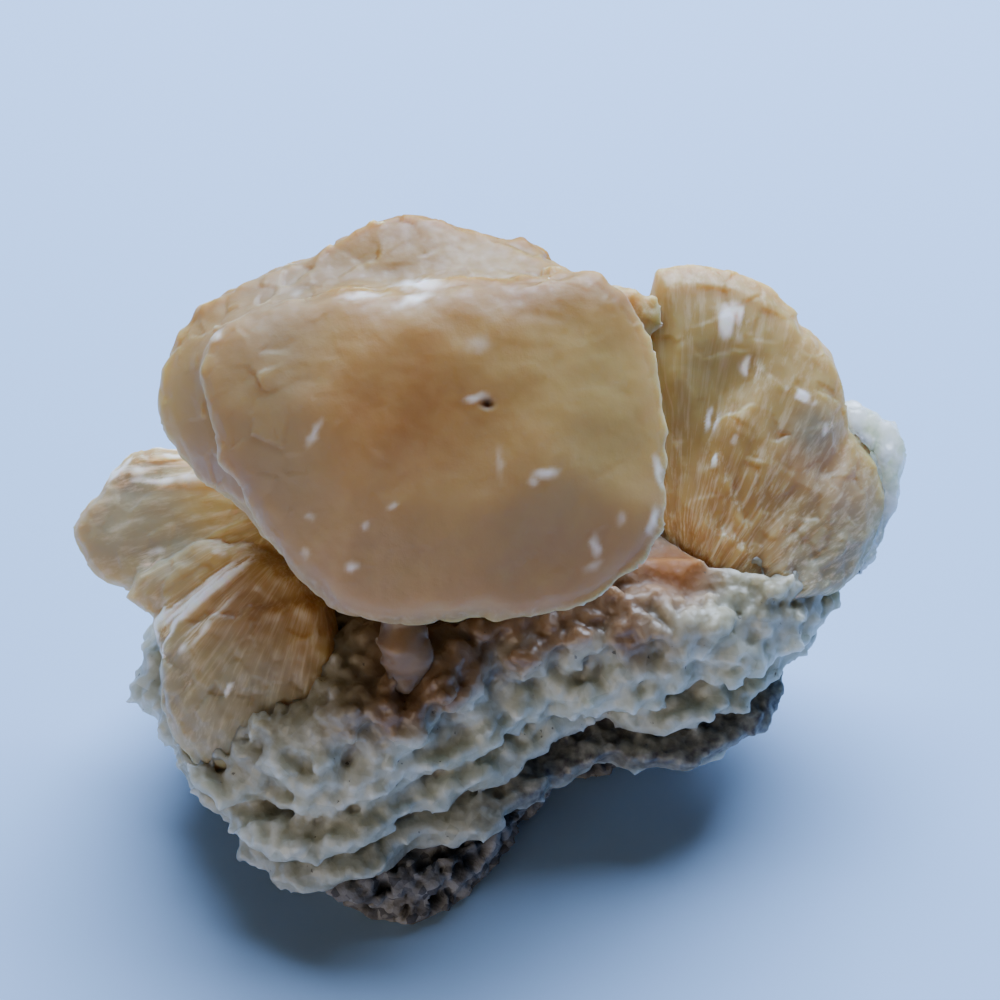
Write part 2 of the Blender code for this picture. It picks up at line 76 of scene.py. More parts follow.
camera_data = bpy.data.cameras.new("camera")
camera_data.lens = LENS
camera_data.sensor_width = SENSOR_WIDTH
camera_data.clip_start = 0.01
camera = bpy.data.objects.new("camera", camera_data)
camera.location = LOOK_AT + toward_viewer * VIEW_DISTANCE
camera.rotation_euler = (math.pi / 2 - VIEW_ELEVATION, 0, 0)
bpy.context.scene.collection.objects.link(camera)
bpy.context.scene.camera = camera


# ---------------------------------------------------------------- table and window light
# A sheet of pale bluish card on a table. A wide window behind it and a little to the right lights it from
# above, so the side towards the viewer is in soft shade, lit by the room's walls from in front and low down.
CARD_COLOUR = "#A4C6F0"
CARD_SIZE, CARD_TOOTH = 3000, 0.6  # mm
CARD_BELOW = 0.05  # mm, so that it doesn't touch the underside
WINDOW_SIZE, WINDOW_PLACE = (620, 400), Vector((62, 335, 505))  # mm
WINDOW_WATTS, WINDOW_COLOUR = 14.6, "#CCDEFD"
WALL_SIZE, WALL_PLACE = (700, 250), Vector((-350, -650, 130))  # mm
WALL_WATTS, WALL_COLOUR = 2.35, "#FFEBD2"
ROOM_COLOUR, ROOM_STRENGTH = "#E6DCCE", 0.030


def linear(hex_colour):
    """An sRGB hex colour as linear RGBA."""
    shares = [int(hex_colour[i:i + 2], 16) / 255 for i in (1, 3, 5)]
    return (*[s / 12.92 if s <= 0.04045 else ((s + 0.055) / 1.055) ** 2.4 for s in shares], 1.0)


def add_node(tree, kind, output=0, settings=(), **inputs):
    """Adds a shader node and gives one of its outputs. Settings are (name, value) pairs; an input, named
    with _ for a space or in_0 for the first, takes a value or the output that is linked to it."""
    made = tree.nodes.new("ShaderNode" + kind)
    for name, value in settings:
        setattr(made, name, value)
    for name, value in inputs.items():
        socket = made.inputs[int(name[3:]) if name.startswith("in_") else name.replace("_", " ")]
        if isinstance(value, bpy.types.NodeSocket):
            tree.links.new(value, socket)
        else:
            socket.default_value = value
    return made.outputs[output] if made.outputs else made


def new_material(name):
    """An empty material and its node tree."""
    made = bpy.data.materials.new(name)
    made.use_nodes = True
    made.node_tree.nodes.clear()
    return made, made.node_tree


def place_area_light(name, place, size, watts, colour):
    """A rectangular light at a place in mm that looks at the specimen."""
    data = bpy.data.lights.new(name, "AREA")
    data.shape = "RECTANGLE"
    data.size, data.size_y = size[0] * MM, size[1] * MM
    data.energy = watts
    data.color = linear(colour)[:3]
    light = bpy.data.objects.new(name, data)
    light.location = place * MM
    light.rotation_euler = (LOOK_AT - light.location).to_track_quat("-Z", "Y").to_euler()
    bpy.context.scene.collection.objects.link(light)


place_area_light("window", WINDOW_PLACE, WINDOW_SIZE, WINDOW_WATTS, WINDOW_COLOUR)
place_area_light("lit_wall", WALL_PLACE, WALL_SIZE, WALL_WATTS, WALL_COLOUR)
world = bpy.data.worlds.new("room")
world.use_nodes = True
world.node_tree.nodes["Background"].inputs["Color"].default_value = linear(ROOM_COLOUR)
world.node_tree.nodes["Background"].inputs["Strength"].default_value = ROOM_STRENGTH
bpy.context.scene.world = world

# Uncoated card, calendered: matt, with a fine soft tooth.
card_material, tree = new_material("uncoated_card")
place = add_node(tree, "TexCoord", "Object")
tooth = add_node(tree, "TexNoise", Vector=place, Scale=1 / (CARD_TOOTH * MM), Detail=3.0)
relief = add_node(tree, "Bump", Strength=0.15, Distance=0.05 * MM, Height=tooth)
surface = add_node(tree, "BsdfPrincipled", Base_Color=linear(CARD_COLOUR), Roughness=0.75, IOR=1.45,
                   Normal=relief)
add_node(tree, "OutputMaterial", Surface=surface)

card_mesh = bpy.data.meshes.new("card")
bm = bmesh.new()
bmesh.ops.create_grid(bm, x_segments=1, y_segments=1, size=CARD_SIZE / 2 * MM)
bmesh.ops.translate(bm, verts=bm.verts, vec=(0, 0, -CARD_BELOW * MM))
bm.to_mesh(card_mesh)
bm.free()
card_mesh.materials.append(card_material)
card = bpy.data.objects.new("card", card_mesh)
bpy.context.scene.collection.objects.link(card)


# ---------------------------------------------------------------- basalt
# The piece of rock that the crystals grew on: dark grey basalt full of gas holes. It broke off the wall of a
# cavity, so it is knobbly all round, and its underside broke flat.
BASALT_DARK, BASALT_MID, BASALT_LIGHT = "#0E0E12", "#444449", "#8C8B8B"
BASALT_VOXEL = 0.30  # mm
KNOB_SIZE, KNOB_HEIGHT = 3.4, 1.5  # mm
GRAIN_SIZE, GRAIN_HEIGHT = 1.25, 0.75  # mm
GRIT_SIZE, GRIT_HEIGHT = 0.9, 0.3  # mm
HOLE_SIZE, HOLE_DEPTH = 1.9, 1.5  # mm
HOLE_GROUP = 3.5  # mm, about the width of the areas with holes and of those without
UNDERSIDE_FLAT, UNDERSIDE_FADE = 0.3, 1.0  # mm up that nothing is knobbly, and mm over which it sets in


def even_mesh(obj, voxel, smoothing, kept=1.0):
    """Remakes an object's mesh as one even surface with faces about voxel mm wide, its edges softened, and
    keeps a share of the faces, more of them where it curves."""
    remesh = obj.modifiers.new("even_mesh", "REMESH")
    remesh.mode = "VOXEL"
    remesh.voxel_size = voxel * MM
    soft = obj.modifiers.new("soft_edges", "SMOOTH")
    soft.factor = 0.5
    soft.iterations = smoothing
    fewer = obj.modifiers.new("fewer_faces", "DECIMATE")
    fewer.ratio = kept
    fine = bpy.data.meshes.new_from_object(obj.evaluated_get(bpy.context.evaluated_depsgraph_get()))
    obj.modifiers.clear()
    fine.name = obj.name
    obj.data = fine
    obj.data.shade_smooth()
    return obj


def fine_copy(node, name, voxel, smoothing):
    """A copy of a CAD node as one even, softened mesh."""
    bm = bmesh.new()
    bm.from_mesh(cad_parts[node].data)
    bmesh.ops.remove_doubles(bm, verts=bm.verts, dist=0.001 * MM)
    mesh = bpy.data.meshes.new(name)
    bm.to_mesh(mesh)
    bm.free()
    obj = bpy.data.objects.new(name, mesh)
    bpy.context.scene.collection.objects.link(obj)
    return even_mesh(obj, voxel, smoothing)


def points_of(obj):
    """The mesh's points in mm and its outward directions, one row each."""
    mesh = obj.data
    points = np.empty(len(mesh.vertices) * 3)
    mesh.vertices.foreach_get("co", points)
    outward = np.empty(len(mesh.vertices) * 3, np.float32)
    mesh.vertex_normals.foreach_get("vector", outward)
    return points.reshape(-1, 3) / MM, outward.reshape(-1, 3).astype(float)


def move_points(obj, points):
    """Sets the mesh's points, in mm, held inside the CAD model's box."""
    low, high = (np.array(corner) / MM for corner in cad_box)
    obj.data.vertices.foreach_set("co", (np.clip(points, low, high) * MM).ravel())
    obj.data.update()


def waves(points, wavelength, seed):
    """Smooth noise, mostly within 0.5 of zero, with bumps about a wavelength apart in the points' unit."""
    shift = np.array([seed * 13.7, seed * 5.3, seed * 9.1])
    return np.array([noise.noise(p) for p in points / wavelength + shift])


def lumps(points, size, seed):
    """Rounded lumps about size mm wide that meet in creases, from 0 in the creases to 1 on top."""
    shift = np.array([seed * 11.9, seed * 3.7, seed * 7.7])
    near = np.array([noise.voronoi(Vector(p))[0][0] for p in points / size + shift])
    return np.sqrt(np.clip(1 - (near / 0.85) ** 2, 0, 1))


def store(obj, **shares):
    """Keeps one number, or one vector, for each of the mesh's points, for a material to read by its name."""
    for name, values in shares.items():
        values = np.asarray(values, np.float32)
        kind, field = ("FLOAT_VECTOR", "vector") if values.ndim == 2 else ("FLOAT", "value")
        obj.data.attributes.new(name, kind, "POINT").data.foreach_set(field, values.ravel())


basalt = fine_copy("matrix", "basalt", BASALT_VOXEL, 2)
points, outward = points_of(basalt)
grains = lumps(points, GRAIN_SIZE, 1)
holes = np.clip(lumps(points, HOLE_SIZE, 2) * 3 - 2.1, 0, 1) * (waves(points, HOLE_GROUP, 3) > -0.08)
side = np.clip((points[:, 2] - UNDERSIDE_FLAT) / UNDERSIDE_FADE, 0, 1)
height = KNOB_HEIGHT * (lumps(points, KNOB_SIZE, 3) - 0.7) + GRAIN_HEIGHT * (grains - 0.5)
height += GRIT_HEIGHT * waves(points, GRIT_SIZE, 4) - HOLE_DEPTH * holes
points += outward * (height * side)[:, None]
points[:, 2] = np.maximum(points[:, 2], 0)
move_points(basalt, points)
# Painted shade: black in the gas holes and dark in the creases between the grains, on the sides only.
store(basalt, gas_hole=np.clip(holes * 1.3 + np.clip(0.55 - grains, 0, 1) * 2.5, 0, 1) * side)

# Vesicular basalt, broken: dull and rough, paler crystal grains about 1 mm wide, and painted shade that makes
# the gas holes black and the creases between the grains dark.
basalt_material, tree = new_material("broken_vesicular_basalt")
place = add_node(tree, "TexCoord", "Object")
grains = add_node(tree, "TexVoronoi", "Color", Vector=place, Scale=1 / (1.0 * MM))
patches = add_node(tree, "TexNoise", Vector=place, Scale=1 / (6 * MM), Detail=4.0)
tone = add_node(tree, "Math", 0, [("operation", "ADD")], in_0=grains, in_1=patches)
tone = add_node(tree, "MapRange", Value=tone, From_Min=0.6, From_Max=1.35)
hollow = add_node(tree, "Attribute", "Fac", [("attribute_name", "gas_hole")])
colour = add_node(tree, "Mix", 2, [("data_type", "RGBA")], in_0=tone, in_6=linear(BASALT_MID),
                  in_7=linear(BASALT_LIGHT))
colour = add_node(tree, "Mix", 2, [("data_type", "RGBA")], in_0=hollow, in_6=colour,
                  in_7=linear(BASALT_DARK))
grit = add_node(tree, "TexNoise", Vector=place, Scale=1 / (0.35 * MM), Detail=3.0)
relief = add_node(tree, "Bump", Strength=0.6, Distance=0.15 * MM, Height=grit)
surface = add_node(tree, "BsdfPrincipled", Base_Color=colour, Roughness=0.85, IOR=1.55, Normal=relief)
add_node(tree, "OutputMaterial", Surface=surface)
basalt.data.materials.append(basalt_material)
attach(basalt, "root")
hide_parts("matrix")


# ---------------------------------------------------------------- front sheaf
# The largest crystal bundle: stilbite blades, grown side by side from a narrow waist, whose ends make one
# thick rounded plate with a second one stepped behind it. The blades' ends show at its rim as small steps.
SHEAF_VOXEL = 0.30  # mm
FRONT_FACE = ORIGIN + (-5.4, -5.9, 50.2)  # mm, middle of the front plate
FRONT_ROOT = ORIGIN + (-1.0, 3.0, 16.0)  # mm, where the bundle fans out from
BLADE_WIDTH = 3.4  # mm
WORN, MELTED = 160, 900  # rounds of smoothing of the face and of the step behind its upper edge
STEP_UP, STEP_SLOPE, STEP_WIDTH = 10.5, 0.1, 6.5  # mm on the face, rising to the right
PIT = (5.3, 2.3)  # mm on the face, across and up, as are the next two
# Middle and size of the thick part of the plate, whose deeper orange there is painted shade.
CORE, CORE_SIZE = (-3, 1.5), (13, 9.5)
# The stub below the plate: where its height and its depth start to count and count in full, in mm. Its
# colour, rosy brown darkened with painted shade under the plate, goes on up behind the plate's edge.
STUB_BELOW, STUB_IN_FRONT_OF = (31, 29), (-8, -9.5)
STUB_COLOUR_BELOW, STUB_COLOUR_BEHIND = (34, 31), (-18, -14)
# White marks on the face, partly frosted bruises and small cleavage cracks and partly painted highlights,
# each across and up from its middle, half as wide and high as given, turned by some degrees, and how white it
# is.
BRUISES = [
    (10.5, -4.0, 1.0, 0.45, 10, 0.9), (9.4, -4.7, 0.5, 0.35, 0, 0.5), (-10.3, -0.4, 1.2, 0.4, 60, 0.6),
    (-5.6, -8.7, 0.35, 0.4, 0, 0.5), (-3.2, -7.0, 0.45, 0.35, 30, 0.5), (-7.0, -12.4, 0.6, 0.5, 0, 0.8),
    (-10.8, -7.9, 0.5, 0.35, 0, 0.4), (-11.3, -11.2, 0.4, 0.5, 0, 0.4), (6.4, -3.0, 0.3, 1.3, 5, 0.25),
    (15.1, -10.6, 0.5, 1.0, 10, 0.7), (15.0, -12.4, 0.8, 0.4, 30, 0.4), (17.4, -8.0, 0.4, 0.7, 0, 0.4),
    (4.2, 2.8, 1.0, 0.35, 15, 0.7), (20.9, -3.8, 0.35, 1.4, 8, 0.9), (20.3, -8.2, 0.4, 1.1, -18, 0.9),
    (-1.0, 13.3, 2.0, 0.6, -3, 1.0), (-1.4, 11.8, 1.5, 0.45, 20, 0.9), (-6.2, 12.2, 2.0, 0.35, 5, 0.7),
    (-19.6, 8.7, 0.6, 0.4, 40, 0.7), (4.5, 7.6, 1.1, 0.8, 0, 0.25), (-12.6, 12.8, 0.5, 0.4, 0, 0.3),
]


def mosaic(points, size, tilt, step, seed):
    """Height in mm of a mosaic of flat crystal ends about size mm wide, tilted and stepped at random."""
    rng = np.random.default_rng(seed)
    extent = np.ptp(points, axis=0)
    middles = points.min(axis=0) + rng.random((int(extent.prod() / size ** 3 * 1.3) + 8, 3)) * extent
    lean = rng.normal(0, tilt, (len(middles), 3))
    level = rng.uniform(-step, step, len(middles))
    nearest = np.empty(len(points), int)
    for start in range(0, len(points), 4000):
        part = points[start:start + 4000]
        nearest[start:start + 4000] = ((part[:, None] - middles[None]) ** 2).sum(axis=2).argmin(axis=1)
    return level[nearest] + ((points - middles[nearest]) * lean[nearest]).sum(axis=1)


def fan_lines(points, root, turns):
    """Coordinates that vary quickly across the growth direction from a root and slowly along it."""
    away = points - root
    length = np.linalg.norm(away, axis=1)
    return away / length[:, None] * turns + (length / 28)[:, None] * np.array([0.31, 0.57, 0.76])


def on_face(points, centre, direction):
    """Place across, up and out from a face's middle, in mm, seen square on."""
    across = Vector((0, 0, 1)).cross(direction).normalized()
    up = Vector(direction).cross(across)
    return (points - np.array(centre)) @ np.array([across, up, direction]).T


def share(values, low, high):
    """0 where the values are at low or beyond it, 1 at high or beyond it, and even steps between."""
    return np.clip((values - low) / (high - low), 0, 1)


# The face and the step behind its upper edge are worn smooth; the rims keep their edges.
front = fine_copy("front_sheaf", "front_sheaf_stilbite", SHEAF_VOXEL, 4)
worn = fine_copy("front_sheaf", "worn", SHEAF_VOXEL, WORN)
melted = fine_copy("front_sheaf", "melted", SHEAF_VOXEL, MELTED)
points, outward = points_of(front)
worn_points, worn_outward = points_of(worn)
melted_points, melted_outward = points_of(melted)
bpy.data.objects.remove(worn)
bpy.data.objects.remove(melted)
toward = np.array(toward_viewer)
face = on_face(points, FRONT_FACE, toward_viewer)
even = share(worn_outward @ toward, 0.25, 0.65)[:, None]
step = np.exp(-((face[:, 1] - STEP_UP - STEP_SLOPE * face[:, 0]) / STEP_WIDTH) ** 2)
step *= share(face[:, 0], -27, -19) * share(face[:, 0], 21, 12)
step = (step * share(melted_outward @ toward, 0.1, 0.5))[:, None]
points = (points * (1 - even) + worn_points * even) * (1 - step) + melted_points * step
outward = (outward * (1 - even) + worn_outward * even) * (1 - step) + melted_outward * step
outward /= np.linalg.norm(outward, axis=1)[:, None]
face = on_face(points, FRONT_FACE, toward_viewer)
facing = np.clip(outward @ toward, 0, 1)
on_front = share(face[:, 2], -5, -2)
lines = fan_lines(points, FRONT_ROOT, 20)
rim = share(facing, 0.75, 0.1)
scaly = np.clip(rim + share(face[:, 0], -9, -18) * 0.7 + share(face[:, 1], 12, 17) * 0.5, 0, 1)
height = mosaic(points, BLADE_WIDTH, 0.05, 0.08, 5) * (0.12 + 0.88 * scaly)
height += rim * (0.40 * waves(points, 3.0, 6) + 0.28 * waves(points, 1.4, 7) + 0.20 * waves(lines, 1.0, 10))
height += 0.40 * waves(points, 9.0, 8) + 0.16 * waves(points, 3.5, 11) + 0.04 * waves(points, 1.1, 9)
bruise = np.zeros(len(points))
ragged = face[:, :2] + 0.30 * np.stack([waves(points, 0.8, 12), waves(points, 0.8, 13)], axis=1)
for across, up, wide, high, turn, white in BRUISES:
    off = (ragged - (across, up)) @ Matrix.Rotation(math.radians(turn), 2)
    spot = share(np.exp(-(off[:, 0] / wide) ** 2 - (off[:, 1] / high) ** 2), 0.1, 0.95)
    bruise = np.maximum(bruise, white * spot * share(face[:, 2], -9, -6))
# A small pit in the face, dented in; its dark inside is painted shade.
pit = np.exp(-((face[:, 0] - PIT[0]) / 0.5) ** 2 - ((face[:, 1] - PIT[1]) / 0.4) ** 2) * on_front
local = points - ORIGIN
stub = share(local[:, 2], *STUB_BELOW) * share(local[:, 1], *STUB_IN_FRONT_OF)
height += 0.10 * bruise - 0.7 * pit + stub * (0.7 + 0.8 * waves(points, 2.2, 15))
points += outward * height[:, None]
move_points(front, points)

# Its colours: deep orange at the root and, as painted shade, in the thick middle; golden above, a painted
# glow;
# rosy below, greyer at two places; painted highlights and sheen; painted shade in the pit, under the plate,
# low down and on the left.
reach = np.linalg.norm(points - FRONT_ROOT, axis=1)
# Painted shade deepens the orange in the plate's middle, where it faces the viewer, as if less light came
# through.
off = (face[:, :2] - CORE) / CORE_SIZE
core = np.exp(-off[:, 0] ** 2 - off[:, 1] ** 2) * facing * on_front
core = np.clip(core + share(reach, 28, 8), 0, 1)
local = points - ORIGIN
under = share(local[:, 2], *STUB_COLOUR_BELOW) * share(local[:, 1], *STUB_IN_FRONT_OF)
stub = np.maximum(stub, under * share(local[:, 1], *STUB_COLOUR_BEHIND))
rosy = share(face[:, 1] + 3 * waves(points, 8, 14), 1, -11) + 0.6 * share(face[:, 0], -9, -16)
rosy *= share(face[:, 0], -26, -22)
rosy = np.maximum(np.clip(rosy, 0, 1) * share(facing, 0, 0.4) * share(face[:, 2], -9, -6), stub)
grey = 0.35 * np.exp(-((face[:, 0] + 14) / 4.5) ** 2) * share(face[:, 1], -12, -4)
grey += 0.3 * share(facing, 0.9, 0.3) * share(face[:, 0], 8, 18) * share(face[:, 2], -9, -6)
# Painted shade: on faces turning down low on the plate, on the stub under the plate, and on the left side.
pit += 0.25 * share(facing, 0.8, 0.3) * share(face[:, 1], -9, -13) + 0.55 * stub
pit += 0.12 * share(face[:, 0], -6, -16) * share(face[:, 0], -26, -22)
# The top band's golden tint is a painted glow of light through the top, and the lower rims' silky lines are
# painted sheen.
store(front, core=core * (1 - stub), rosy=rosy, gold=share(face[:, 1], 6, 12), grey=grey,
      silk=0.3 * rim * share(face[:, 1], 4, -4), bruise=bruise, pit=pit, lines=lines)

# Stilbite: a peach zeolite, waxy and translucent, so light travels some millimetres inside it. It is deeper
# orange near the root and, as painted shade, where it is thick; paler at the ends, with fine lines along
# growth.
STILBITE_PALE, STILBITE_DEEP, STILBITE_GOLD = "#C4A86A", "#A6713C", "#8E6418"
STILBITE_ROSY, STILBITE_GREY = "#AC8761", "#9A937C"
STILBITE_SILK, STILBITE_BRUISE, STILBITE_PIT = "#E6D3B4", "#F6F1EA", "#4A3A33"
stilbite, tree = new_material("waxy_stilbite")
place = add_node(tree, "TexCoord", "Object")
lines = add_node(tree, "Attribute", "Vector", [("attribute_name", "lines")])
clouds = add_node(tree, "TexNoise", Vector=place, Scale=1 / (7 * MM), Detail=4.0, Roughness=0.6)
clouds = add_node(tree, "MapRange", Value=clouds, From_Min=0.3, From_Max=0.7, To_Min=0.6)
specks = add_node(tree, "TexNoise", Vector=place, Scale=1 / (1.2 * MM), Detail=3.0)
threads = add_node(tree, "TexNoise", Vector=lines, Scale=2.6, Detail=5.0, Roughness=0.65)
light_threads = add_node(tree, "MapRange", Value=threads, From_Min=0.48, From_Max=0.66)
colour = linear(STILBITE_PALE)
# Over the pale colour: the golden top glow, shaded middle, silky sheen, highlights and shade are painted
# light.
for name, layer, uneven in (("gold", STILBITE_GOLD, clouds), ("core", STILBITE_DEEP, clouds),
                            ("rosy", STILBITE_ROSY, clouds), ("grey", STILBITE_GREY, clouds),
                            ("silk", STILBITE_SILK, light_threads), ("bruise", STILBITE_BRUISE, 1.0),
                            ("pit", STILBITE_PIT, 1.0)):
    amount = add_node(tree, "Attribute", "Fac", [("attribute_name", name)])
    amount = add_node(tree, "Math", 0, [("operation", "MULTIPLY")], in_0=amount, in_1=uneven)
    colour = add_node(tree, "Mix", 2, [("data_type", "RGBA")], in_0=amount, in_6=colour, in_7=linear(layer))
relief = add_node(tree, "Bump", Strength=0.30, Distance=0.12 * MM, Height=threads)
relief = add_node(tree, "Bump", Strength=0.15, Distance=0.10 * MM, Height=specks, Normal=relief)
gloss = add_node(tree, "MapRange", Value=specks, From_Min=0.3, From_Max=0.7, To_Min=0.38, To_Max=0.62)
surface = add_node(tree, "BsdfPrincipled", Base_Color=colour, Roughness=gloss, IOR=1.50,
                   Subsurface_Weight=1.0, Subsurface_Radius=(1.0, 0.62, 0.36),
                   Subsurface_Scale=6.5 * MM, Normal=relief)
add_node(tree, "OutputMaterial", Surface=surface)
front.data.materials.append(stilbite)
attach(front, "root")
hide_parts("front_sheaf")


# ---------------------------------------------------------------- the other sheaves
# Smaller bundles of stilbite blades: one at the right, a fan of four blades at the left, and two at the back.
# Each blade is lined along its growth and its end is a row of thin plates, so its rim is finely scalloped.
# Silky patches, where cleavage lines along the growth flash white as painted sheen and glints, are given by
# place, size across and size along in mm; rosy and grey patches by place and radius in mm.
RIGHT_SILK = [
    ((24.6, 16.9, 45.3), 1.6, 1.8), ((26.5, 13.8, 41.9), 1.2, 1.0), ((31.4, 12.2, 39.6), 1.5, 0.5),
    ((22.4, 9.9, 38.2), 0.6, 1.2), ((24.6, 7.7, 37.5), 0.4, 0.5), ((22.6, 6.9, 36.2), 0.7, 1.2),
    ((34.5, 10.5, 36.5), 0.7, 1.0),
]
FAN_SILK = [
    ((-31.7, -6.2, 25.8), 1.7, 2.6), ((-28.1, -5.0, 28.6), 0.9, 6.0), ((-26.8, -7.2, 28.3), 0.6, 4.0),
    ((-28.9, -8.5, 26.5), 0.8, 2.5), ((-35.6, 8.5, 33.5), 2.6, 8.0), ((-34.3, 0.6, 27.6), 1.2, 1.6),
    ((-32.1, -8.6, 23.4), 0.9, 0.8), ((-29.9, -11.6, 23.0), 0.6, 0.6), ((-25.3, -13.1, 23.1), 0.5, 0.7),
]
# The fan's upper blade lies behind the others, and its lines run straight out to the left.
# Its lower limit is mm up the view from the fan's middle, and leans to the left.
UPPER_BLADE_ROOT, UPPER_BLADE_FROM = ORIGIN + (2.0, 3.5, 36.0), 18.6  # mm
UPPER_BLADE_LEAN, FAN_MIDDLE_UP = -0.588, 21.2
# Each row: CAD node, face size, root, where its lines run from, between which distances from the root its
# deep colour fades out and is full, how bumpy it is, silky patches of painted sheen, rosy and grey patches;
# all in mm.
OTHER_SHEAVES = [
    ("right_sheaf", 0.27, (21.5, 3.5, 19.0), (18.0, -5.0, 21.0), (23, 6), 0.25, RIGHT_SILK,
     [((33.0, 8.5, 35.0), 6.0), ((37.0, 6.0, 32.0), 5.0)],
     [((33.0, 9.5, 37.5), 3.5), ((36.5, 1.0, 23.5), 13.0)]),
    ("left_fan", 0.25, (-16.0, -4.5, 27.5), (-15.0, 0.5, 37.5), (12, 2), 0.6, FAN_SILK,
     [((-24.0, -7.0, 27.5), 5.5), ((-20.0, -14.0, 23.0), 6.0)],
     [((-37.0, 5.0, 30.0), 9.0), ((-32.0, 1.0, 27.0), 7.0), ((-31.0, -10.0, 21.5), 7.0),
      ((-25.0, -14.0, 20.5), 11.0)]),
    ("back_sheaf", 0.33, (12.0, 17.5, 17.0), (12.0, 17.5, 17.0), (25, 6), 1.0,
     [((14.0, 24.0, 42.0), 0.8, 5.0)],
     [((8.0, 22.0, 34.0), 5.0)], [((14.0, 22.0, 24.0), 6.0)]),
    ("back_left_sheaf", 0.33, (-8.5, 18.5, 16.0), (-8.5, 18.5, 16.0), (22, 5), 1.0,
     [((-10.0, 25.0, 36.0), 0.8, 5.0)],
     [((-14.0, 22.0, 32.0), 5.0)], [((-10.0, 23.0, 22.0), 6.0)]),
]


def patches_on(points, patches):
    """1 in the middle of any of the round patches, fading to 0 at their edges."""
    found = np.zeros(len(points))
    for middle, radius in patches:
        apart = np.linalg.norm(points - (ORIGIN + middle), axis=1)
        found = np.maximum(found, share(apart, radius, radius * 0.35))
    return found


sheaves = {"front_sheaf": front}
for seed, row in enumerate(OTHER_SHEAVES, 20):
    node, voxel, root, lines_from, deep, bumpy, silky, rosy, grey = row
    sheaf = fine_copy(node, node + "_stilbite", voxel, 14)
    points, outward = points_of(sheaf)
    lines_from = np.tile(ORIGIN + lines_from, (len(points), 1))
    if node == "left_fan":
        up = (UPPER_BLADE_LEAN, math.sin(VIEW_ELEVATION), math.cos(VIEW_ELEVATION))
        up_view = (points - ORIGIN) @ up - FAN_MIDDLE_UP
        lines_from[up_view > UPPER_BLADE_FROM] = UPPER_BLADE_ROOT
    away = points - (ORIGIN + root)
    reach = np.linalg.norm(away, axis=1)
    end_on = np.clip((outward * away).sum(axis=1) / reach * 1.3, 0, 1)
    lines = fan_lines(points, lines_from, 16)
    threads = waves(fan_lines(points, lines_from, 34), 1.0, seed + 2)
    # Silky patches: painted sheen along the growth lines.
    silk = np.zeros(len(points))
    for middle, wide, long in silky:
        off = points - (ORIGIN + middle)
        growth = ORIGIN + middle - lines_from
        growth /= np.linalg.norm(growth, axis=1)[:, None]
        along = (off * growth).sum(axis=1)
        across = np.linalg.norm(off - along[:, None] * growth, axis=1)
        silk = np.maximum(silk, np.exp(-(along / long) ** 2 - (across / wide) ** 2))
    height = mosaic(points, 3.0, 0.04, 0.07, seed) * (0.3 + 0.7 * end_on)
    low = share(reach, 26, 14) if node == "right_sheaf" else 0
    height += np.maximum(1 - end_on, 0.8 * low) * (0.40 * waves(lines, 1.0, seed + 1) + 0.15 * threads)
    height += bumpy * end_on * (0.45 * waves(points, 2.6, seed + 3) + 0.30 * waves(points, 1.2, seed + 5))
    height += 0.45 * waves(points, 6.0, seed + 4) + 0.20 * silk * threads
    points += outward * height[:, None]
    move_points(sheaf, points)
    # The white flashes in the silky patches are painted glints.
    flash = share(threads + 0.2 * waves(points, 1.3, seed + 6), -0.05, 0.25)
    # The golden tint on faces turned up is a painted glow of light through the tops.
    store(sheaf, core=share(reach, *deep), gold=share(outward[:, 2], 0.3, 0.9) * 0.5, lines=lines,
          rosy=patches_on(points, rosy), grey=patches_on(points, grey),
          silk=np.clip(silk * 1.6, 0.3 + 0.3 * low, 1),
          bruise=share(silk, 0.15, 0.5) * flash, pit=np.zeros(len(points)))
    sheaf.data.materials.append(stilbite)
    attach(sheaf, "root")
    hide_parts(node)
    sheaves[node] = sheaf


# ---------------------------------------------------------------- pale crystal
# One blade of a clearer, greenish-white zeolite beside the right sheaf, lined along its growth.
PALE_ROOT = ORIGIN + (31.5, 4.9, 17.5)  # mm
PALE_WHITE, PALE_GREEN = "#FFFAE2", "#C8D0B2"
PALE_VOXEL = 0.28  # mm
pale = fine_copy("pale_crystal", "pale_zeolite_crystal", PALE_VOXEL, 3)
points, outward = points_of(pale)
lines = fan_lines(points, PALE_ROOT, 18)
height = mosaic(points, 3.0, 0.06, 0.12, 31) + 0.35 * waves(lines, 1.0, 32) + 0.25 * waves(points, 1.8, 33)
points += outward * height[:, None]
move_points(pale, points)
store(pale, lines=lines)

# Clear zeolite with a few cracks: glassy, so what is behind it shows faintly through.
pale_material, tree = new_material("clear_zeolite")
place = add_node(tree, "TexCoord", "Object")
lines = add_node(tree, "Attribute", "Vector", [("attribute_name", "lines")])
threads = add_node(tree, "TexNoise", Vector=lines, Scale=2.4, Detail=4.0)
clouds = add_node(tree, "TexNoise", Vector=place, Scale=1 / (3 * MM), Detail=4.0)
clouds = add_node(tree, "MapRange", Value=clouds, From_Min=0.38, From_Max=0.55)
colour = add_node(tree, "Mix", 2, [("data_type", "RGBA")], in_0=clouds, in_6=linear(PALE_GREEN),
                  in_7=linear(PALE_WHITE))
relief = add_node(tree, "Bump", Strength=0.4, Distance=0.12 * MM, Height=threads)
surface = add_node(tree, "BsdfPrincipled", Base_Color=colour, Roughness=0.22, IOR=1.50,
                   Subsurface_Weight=1.0, Subsurface_Radius=(1.0, 0.97, 0.88), Subsurface_Scale=9.0 * MM,
                   Transmission_Weight=0.15, Normal=relief)
add_node(tree, "OutputMaterial", Surface=surface)
pale.data.materials.append(pale_material)
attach(pale, "root")
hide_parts("pale_crystal")


